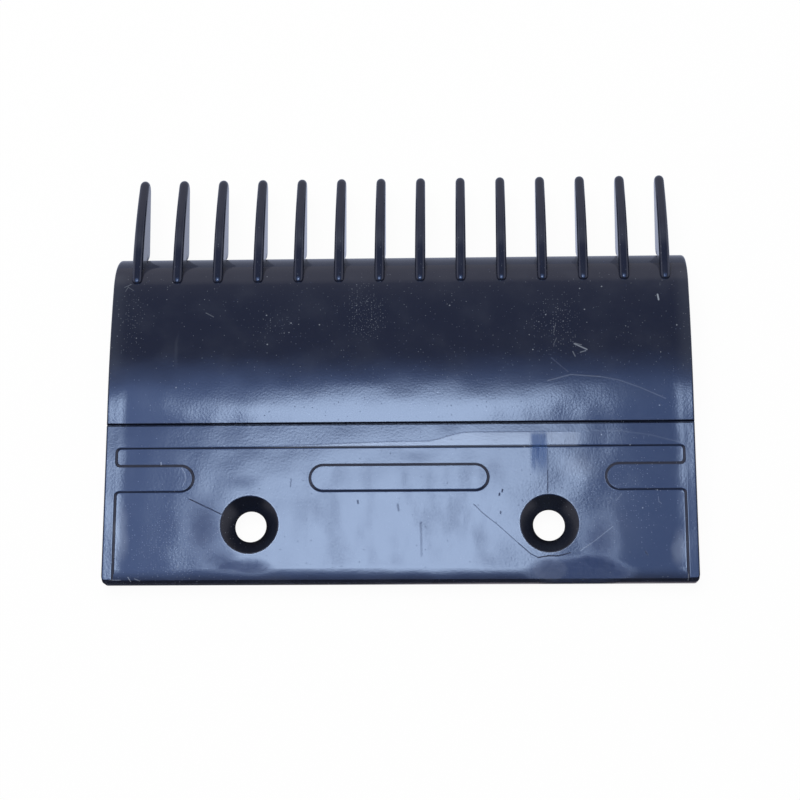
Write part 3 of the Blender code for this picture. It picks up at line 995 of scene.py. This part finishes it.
def dustMask(tree, point, across, along):
    # drawn scratches and grains, then scattered specks, coarse and fine
    grains = [((grain, grain), marks["grainWidth"], marks["grainStrength"]) for grain in marks["grains"]]
    light = drawnLines(tree, point, list(marks["lightLines"]) + grains)
    density = dust["density"]
    for centre, radii, share in dust["clusters"]:
        cluster = patchMask(tree, point, centre, radii, dust["clusterEdge"])
        density = calc(tree, "MULTIPLY_ADD", cluster, share, density)
    onCrown = between(tree, along, *dust["crownFrom"])
    least, more = dust["coarseShares"]
    few = calc(tree, "MULTIPLY", density, calc(tree, "MULTIPLY_ADD", onCrown, more, least))
    coarse = specks(tree, point, dust["coarseScale"], dust["coarseRadius"], few)
    least, more = dust["fineShares"]
    many = calc(tree, "MULTIPLY_ADD", density, more, least)
    fine = specks(tree, point, dust["fineScale"], dust["fineRadius"], many)
    calm = calc(tree, "MULTIPLY", between(tree, across, *dust["calmLeft"]),
                between(tree, across, *dust["calmRight"]))
    calm = calc(tree, "MULTIPLY", calm, between(tree, along, *dust["calmFront"]))
    kept = calc(tree, "MULTIPLY_ADD", calm, -dust["calmDrop"], 1.0)
    for mask, strength in ((coarse, dust["coarseStrength"]), (fine, dust["fineStrength"])):
        shown = calc(tree, "MULTIPLY", mask, calc(tree, "MULTIPLY", kept, strength))
        light = calc(tree, "MAXIMUM", light, shown)
    return light


def strayedPoint(tree, point):
    # the point moved about by noise, so that soft patches get uneven outlines
    stray = noiseColor(tree, point, marks["wanderScale"])
    stray = vectorCalc(tree, "SUBTRACT", stray, (0.5, 0.5, 0.5))
    strayed = vectorCalc(tree, "ADD", point, vectorCalc(tree, "SCALE", stray, scale=marks["patchWander"]))
    return vectorCalc(tree, "MULTIPLY", strayed, (1, 1, 0))


def addFilmsAndSheen(tree, point, across, along, hazeAndSheen):
    # painted sheen on the crown's outer strips and the teeth, a painted highlight ring round each
    # countersink, then a smudge of dirt
    side = between(tree, calc(tree, "ABSOLUTE", across), *filmAndSheen["sideFrom"])
    side = calc(tree, "MULTIPLY", side, between(tree, along, *filmAndSheen["sideStation"]))
    hazeAndSheen = calc(tree, "MULTIPLY_ADD", side, filmAndSheen["sideStrength"], hazeAndSheen)
    teeth = between(tree, along, *filmAndSheen["toothStation"])
    hazeAndSheen = calc(tree, "MULTIPLY_ADD", teeth, filmAndSheen["toothStrength"], hazeAndSheen)
    for x in screwCentres:
        centre = (x * millimetres, (screwY - hole["setback"]) * millimetres)
        rings = [patchMask(tree, point, centre, (r, r), filmAndSheen["ringEdge"]) for r in filmAndSheen["ringRadii"]]
        ring = calc(tree, "SUBTRACT", rings[0], rings[1])
        hazeAndSheen = calc(tree, "MULTIPLY_ADD", ring, filmAndSheen["ringStrength"], hazeAndSheen)
    smudge = noise(tree, point, filmAndSheen["smudgeScale"], filmAndSheen["smudgeDetail"])
    smudge = between(tree, smudge, *filmAndSheen["smudgeRange"])
    return calc(tree, "MULTIPLY_ADD", smudge, filmAndSheen["smudgeStrength"], hazeAndSheen)


def smearMask(tree, point, across, along):
    drawnOut = noise(tree, vectorCalc(tree, "MULTIPLY", point, smear["scale"]), 1.0, smear["detail"])
    drawnOut = between(tree, drawnOut, *smear["range"])
    grain = between(tree, noise(tree, point, smear["grainScale"]), *smear["grainRange"])
    grainy = calc(tree, "MULTIPLY", drawnOut, grain)
    return calc(tree, "MULTIPLY", grainy, boxMask(tree, across, along, smear["sides"], smear["ends"]))


def pitMask(tree, point, across, along):
    inPanel, more = pits["shares"]
    share = calc(tree, "MULTIPLY_ADD", between(tree, along, *surface["panelFront"]), more, inPanel)
    mask = specks(tree, point, pits["scale"], pits["radius"], share)
    return calc(tree, "MULTIPLY", mask, between(tree, across, *pits["leftEnd"]))


def coneMask(tree, point, up):
    # the countersinks under the panel's floor
    mask = 0.0
    reach = surface["coneReach"]
    for x in screwCentres:
        centre = (x * millimetres, screwY * millimetres)
        ring = patchMask(tree, point, centre, (reach, reach), surface["coneEdge"])
        mask = calc(tree, "MAXIMUM", mask, ring)
    start, full = [panelFloor * millimetres - depth for depth in surface["coneFrom"]]
    return calc(tree, "MULTIPLY", mask, between(tree, up, start, full))


def plasticMaterial():
    lineGroup()
    patchGroup()
    speckGroup()
    material = bpy.data.materials.new("blueBlackPlastic")
    material.use_nodes = True
    tree = material.node_tree
    shader = tree.nodes["Principled BSDF"]
    shader.inputs["IOR"].default_value = surface["ior"]

    # the plate's plan in millimetres
    place = addNode(tree, "ShaderNodeTexCoord").outputs["Object"]
    place = vectorCalc(tree, "SCALE", place, scale=millimetres)
    parts = addNode(tree, "ShaderNodeSeparateXYZ", {"Vector": place})
    across = parts.outputs["X"]
    along = parts.outputs["Y"]
    up = parts.outputs["Z"]
    point = addNode(tree, "ShaderNodeCombineXYZ", {"X": across, "Y": along}).outputs[0]
    onFace = between(tree, up, *surface["marksFrom"])

    # light marks go to the colour: dust and scratches, with painted sheen and highlights
    light = dustMask(tree, point, across, along)
    strayed = strayedPoint(tree, point)
    hazeAndSheen = drawnPatches(tree, strayed, marks["hazePatches"])
    # the bright wedge is painted reflection; its dark rim only roughens
    sheenWedge, rim = flowSheenMasks(tree, across, along)
    hazeAndSheen = calc(tree, "MULTIPLY_ADD", sheenWedge, flowSheen["wedgeStrength"], hazeAndSheen)
    hazeAndSheen = addFilmsAndSheen(tree, point, across, along, hazeAndSheen)
    onStreak = boxMask(tree, across, along, streak["sides"], streak["ends"])
    hazeAndSheen = calc(tree, "MULTIPLY", hazeAndSheen, calc(tree, "MULTIPLY_ADD", onStreak, -streak["hazeDrop"], 1.0))
    light = calc(tree, "MULTIPLY", calc(tree, "ADD", light, hazeAndSheen, clamp=True), onFace)

    # dark marks and the shade patches are rougher, so they mirror less of the window
    shadeAndStreak = drawnPatches(tree, strayed, marks["dullPatches"])
    fineLines = noise(tree, vectorCalc(tree, "MULTIPLY", point, streak["lineScale"]), 1.0)
    fineLines = calc(tree, "MULTIPLY_ADD", fineLines, streak["lineContrast"], streak["lineOffset"])
    lined = calc(tree, "MULTIPLY", onStreak, fineLines)
    uneven = calc(tree, "MULTIPLY_ADD", noise(tree, point, marks["dullMottleScale"]), 1.0, 0.5)
    shadeAndStreak = calc(tree, "MULTIPLY", shadeAndStreak, uneven)
    shadeAndStreak = calc(tree, "MULTIPLY_ADD", lined, streak["dullness"], shadeAndStreak)
    wiped = smearMask(tree, point, across, along)
    pitted = pitMask(tree, point, across, along)
    dark = calc(tree, "MAXIMUM", drawnLines(tree, point, marks["darkLines"]), shadeAndStreak)
    dark = calc(tree, "MULTIPLY_ADD", wiped, smear["strength"], dark)
    dark = calc(tree, "MAXIMUM", dark, calc(tree, "MULTIPLY", pitted, pits["strength"]))
    dark = calc(tree, "MAXIMUM", dark, calc(tree, "MULTIPLY", rim, flowSheen["rimStrength"]))

    # countersinks are duller, and painted darker than the face as shade in their recess
    inHole = coneMask(tree, point, up)
    roughness = calc(tree, "MULTIPLY_ADD", dark, surface["roughest"] - surface["roughness"],
                     surface["roughness"])
    roughness = calc(tree, "MAXIMUM", roughness, calc(tree, "MULTIPLY", inHole, surface["coneRoughness"]))
    # painted shade: the shade patches, with the streak's lines, tint the colour blue
    shadeBlueShare = calc(tree, "MULTIPLY", shadeAndStreak, surface["dullTint"], clamp=True)
    base = mixColor(tree, shadeBlueShare, surface["baseColor"], surface["dullColor"])
    base = mixColor(tree, lined, base, surface["streakColor"])
    base = mixColor(tree, inHole, base, surface["coneColor"])
    feed(tree, shader, "Base Color", mixColor(tree, light, base, surface["dustColor"]))
    feed(tree, shader, "Roughness", roughness)

    # orange peel, a little weaker in the panel, on a long slow wave
    peel = calc(tree, "MULTIPLY", noise(tree, place, surface["peelScale"]), surface["peelHeight"])
    share = calc(tree, "MULTIPLY_ADD", between(tree, along, *surface["panelFront"]), 1 - surface["panelPeel"],
                 surface["panelPeel"])
    peel = calc(tree, "MULTIPLY", peel, share)
    wave = calc(tree, "MULTIPLY", noise(tree, place, surface["waveScale"], 1.0), surface["waveHeight"])
    height = calc(tree, "ADD", peel, wave)
    bump = addNode(tree, "ShaderNodeBump", {"Height": height, "Distance": micrometre})
    feed(tree, shader, "Normal", bump.outputs["Normal"])
    return material


# surroundings that the gloss reflects; slopes are sideways or forward distance over height
studio = {
    "leastHeight": 0.02,
    "windowSides": (-0.160, -0.140, 0.042, 0.067),
    "windowShear": 0.30,          # how the window's side edges lean outwards towards the front
    "windowShearFrom": 0.18,
    "windowFront": (0.183, 0.262),
    "windowFrontSkew": 0.35,      # how much further back its front edge lies towards the left
    "windowSkewFrom": -0.06,
    "windowRear": (-0.22, -0.10),
    "windowColor": (7.6, 9.9, 14.3),
    "mottleScale": 42.0,
    "mottleDetail": 3.0,
    "mottle": 0.16,
    "overheadFront": (0.18, 0.41),
    "overheadRear": (-1.5, -0.6),
    "overheadSides": (0.25, 0.6),
    "overheadLeft": (1.12, 1.78, 3.8, 1),
    "overheadRight": (0.60, 1.05, 2.42, 1),
    "overheadBlend": (-0.25, 0.25),
    "wallColor": (0.08, 0.11, 0.20, 1),
    "frontColor": (0.65, 0.65, 0.74, 1),
    "frontRise": (0.50, 0.80),
    "sideColor": (0.72, 0.75, 0.95, 1),     # low at both sides, seen in the steepest side walls
    "sideRise": (0.55, 0.85),
    "domeLight": 0.32,
    "keyPlace": (-0.15, 0.35, 1.0),
    "keySize": 0.9,
    "keyPower": 9.5,
}


def buildWorld():
    world = bpy.data.worlds.new("studioSurroundings")
    bpy.context.scene.world = world
    world.use_nodes = True
    tree = world.node_tree
    tree.nodes.clear()
    direction = addNode(tree, "ShaderNodeTexCoord").outputs["Generated"]
    parts = addNode(tree, "ShaderNodeSeparateXYZ", {"Vector": direction})
    height = calc(tree, "MAXIMUM", parts.outputs["Z"], studio["leastHeight"])
    sideways = calc(tree, "DIVIDE", parts.outputs["X"], height)
    forward = calc(tree, "DIVIDE", parts.outputs["Y"], height)
    sides = studio["windowSides"]
    lean = calc(tree, "SUBTRACT", forward, studio["windowShearFrom"])
    leftLean = calc(tree, "MULTIPLY_ADD", lean, studio["windowShear"], sideways)
    rightLean = calc(tree, "MULTIPLY_ADD", lean, -studio["windowShear"], sideways)
    window = calc(tree, "MULTIPLY", between(tree, leftLean, sides[0], sides[1]),
                  between(tree, rightLean, sides[3], sides[2]))
    front = studio["windowFront"]
    skew = calc(tree, "MAXIMUM", calc(tree, "SUBTRACT", studio["windowSkewFrom"], sideways), 0.0)
    skewed = calc(tree, "MULTIPLY_ADD", skew, studio["windowFrontSkew"], forward)
    window = calc(tree, "MULTIPLY", window, between(tree, skewed, front[1], front[0]))
    rear = studio["windowRear"]
    window = calc(tree, "MULTIPLY", window, between(tree, forward, rear[0], rear[1]))
    rise = studio["frontRise"]
    around = mixColor(tree, between(tree, parts.outputs["Y"], rise[0], rise[1]),
                      studio["wallColor"], studio["frontColor"])
    low = studio["sideRise"]
    level = calc(tree, "ABSOLUTE", parts.outputs["X"])
    around = mixColor(tree, between(tree, level, low[0], low[1]), around, studio["sideColor"])
    blend = studio["overheadBlend"]
    overhead = mixColor(tree, between(tree, sideways, blend[0], blend[1]),
                        studio["overheadLeft"], studio["overheadRight"])
    edge = studio["overheadFront"]
    reach = studio["overheadSides"]
    above = calc(tree, "MULTIPLY", between(tree, forward, edge[1], edge[0]),
                 between(tree, calc(tree, "ABSOLUTE", sideways), reach[1], reach[0]))
    behind = studio["overheadRear"]
    above = calc(tree, "MULTIPLY", above, between(tree, forward, behind[0], behind[1]))
    around = mixColor(tree, above, around, overhead)
    slopes = addNode(tree, "ShaderNodeCombineXYZ", {"X": sideways, "Y": forward}).outputs[0]
    mottle = noise(tree, slopes, studio["mottleScale"], studio["mottleDetail"])
    mottle = calc(tree, "MULTIPLY_ADD", mottle, 2 * studio["mottle"], 1 - studio["mottle"])
    pane = vectorCalc(tree, "SCALE", studio["windowColor"], scale=mottle)
    around = mixColor(tree, window, around, pane)
    path = addNode(tree, "ShaderNodeLightPath")
    dome = studio["domeLight"]
    seen = mixColor(tree, path.outputs["Is Glossy Ray"], (dome, dome, dome, 1), around)
    seen = mixColor(tree, path.outputs["Is Camera Ray"], seen, (1, 1, 1, 1))
    background = addNode(tree, "ShaderNodeBackground", {"Color": seen, "Strength": 1.0})
    output = addNode(tree, "ShaderNodeOutputWorld")
    tree.links.new(background.outputs[0], output.inputs["Surface"])


def buildKeyLight():
    light = bpy.data.lights.new("softKey", "AREA")
    light.shape = "SQUARE"
    light.size = studio["keySize"]
    light.energy = studio["keyPower"]
    lamp = bpy.data.objects.new("softKey", light)
    lamp.location = studio["keyPlace"]
    lamp.rotation_euler = (Vector((0, 0, 0)) - lamp.location).to_track_quat("-Z", "Y").to_euler()
    lamp.visible_glossy = False
    bpy.context.scene.collection.objects.link(lamp)


floorSettings = {
    "size": 3.0,
    "whiteShare": 0.95,      # how much of the floor's white, seen directly, is independent of its light
    "glossRear": (0.045, 0.048, 0.065, 1),   # painted shadow: the floor in the gloss, behind the plate
    "glossFront": (0.50, 0.55, 0.72, 1),    # painted light: the same, in front of it
    "glossRise": (-0.04, 0.03),
    "glossNear": (0.42, 0.39, 0.44, 1),      # painted light: the strip under the foot of the rear wall
    "nearReach": (0.0005, 0.00015),
    "nearDepth": (0.01, 0.005),
    "nearSides": (-0.012, 0.02),
    "color": (0.93, 0.93, 0.93, 1),
    "gap": 0.0003,           # between the floor and the heels of the teeth
}


def buildFloor():
    # the plate rests on its rear foot and on the heels of its teeth
    heelY = deckCurve(0, noseFoot, 2, 2)[-1][0] + tooth["heelClearance"] + tooth["heelRadius"]
    tilt = math.atan((slabFoot - low.z) / (heelY - rearY))
    half = floorSettings["size"] / 2
    bm = bmesh.new()
    corners = [(-half, -half), (half, -half), (half, half), (-half, half)]
    lowest = low.z - floorSettings["gap"]
    verts = [bm.verts.new((x, y, lowest - (y - heelY) * math.tan(tilt))) for x, y in corners]
    bm.faces.new(verts)
    floor = newObject("studio_floor", bm)
    material = bpy.data.materials.new("whiteFloor")
    material.use_nodes = True
    tree = material.node_tree
    tree.nodes.clear()
    plain = addNode(tree, "ShaderNodeBsdfDiffuse", {"Color": floorSettings["color"]})
    path = addNode(tree, "ShaderNodeLightPath")
    place = addNode(tree, "ShaderNodeTexCoord").outputs["Object"]
    parts = addNode(tree, "ShaderNodeSeparateXYZ", {"Vector": place}).outputs
    along = parts["Y"]
    # the floor as the gloss sees it: painted shadow behind the plate, painted light in front of it and on the
    # strip under the rear wall's foot
    rise = floorSettings["glossRise"]
    gloss = mixColor(tree, between(tree, along, rise[0], rise[1]),
                     floorSettings["glossRear"], floorSettings["glossFront"])
    reach = floorSettings["nearReach"]
    ends = floorSettings["nearSides"]
    near = calc(tree, "MULTIPLY", between(tree, along, rearY - reach[0], rearY - reach[1]),
                between(tree, parts["X"], ends[0], ends[1]))
    depth = floorSettings["nearDepth"]
    near = calc(tree, "MULTIPLY", near, between(tree, along, rearY + depth[0], rearY + depth[1]))
    gloss = mixColor(tree, near, gloss, floorSettings["glossNear"])
    isGlossy = path.outputs["Is Glossy Ray"]
    share = calc(tree, "MULTIPLY_ADD", path.outputs["Is Camera Ray"], floorSettings["whiteShare"], isGlossy)
    color = mixColor(tree, isGlossy, (1, 1, 1, 1), gloss)
    glow = addNode(tree, "ShaderNodeEmission", {"Color": color, "Strength": 1.0})
    mix = addNode(tree, "ShaderNodeMixShader", {0: share})
    tree.links.new(plain.outputs[0], mix.inputs[1])
    tree.links.new(glow.outputs[0], mix.inputs[2])
    output = addNode(tree, "ShaderNodeOutputMaterial")
    tree.links.new(mix.outputs[0], output.inputs["Surface"])
    floor.data.materials.append(material)


cameraSettings = {
    "place": (0.01612, -0.10665, 0.44339),
    "turnDeg": (12.945, 2.063, -0.440),
    "lens": 81.80,
    "sensor": 36.0,
}


def buildCamera():
    data = bpy.data.cameras.new("photoView")
    data.lens = cameraSettings["lens"]
    data.sensor_width = cameraSettings["sensor"]
    camera = bpy.data.objects.new("photoView", data)
    camera.rotation_mode = "ZYX"
    camera.rotation_euler = [math.radians(a) for a in cameraSettings["turnDeg"]]
    camera.location = cameraSettings["place"]
    bpy.context.scene.collection.objects.link(camera)
    bpy.context.scene.camera = camera


combPlate = buildPlate()
print("plate built:", len(combPlate.data.polygons), "faces")
combPlate.data.materials.clear()
combPlate.data.materials.append(plasticMaterial())
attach(combPlate, "root")
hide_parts("comb_plate")

buildCamera()
buildWorld()
buildKeyLight()
buildFloor()
bpy.context.scene.view_settings.view_transform = "Standard"
print("camera, lights and floor set")
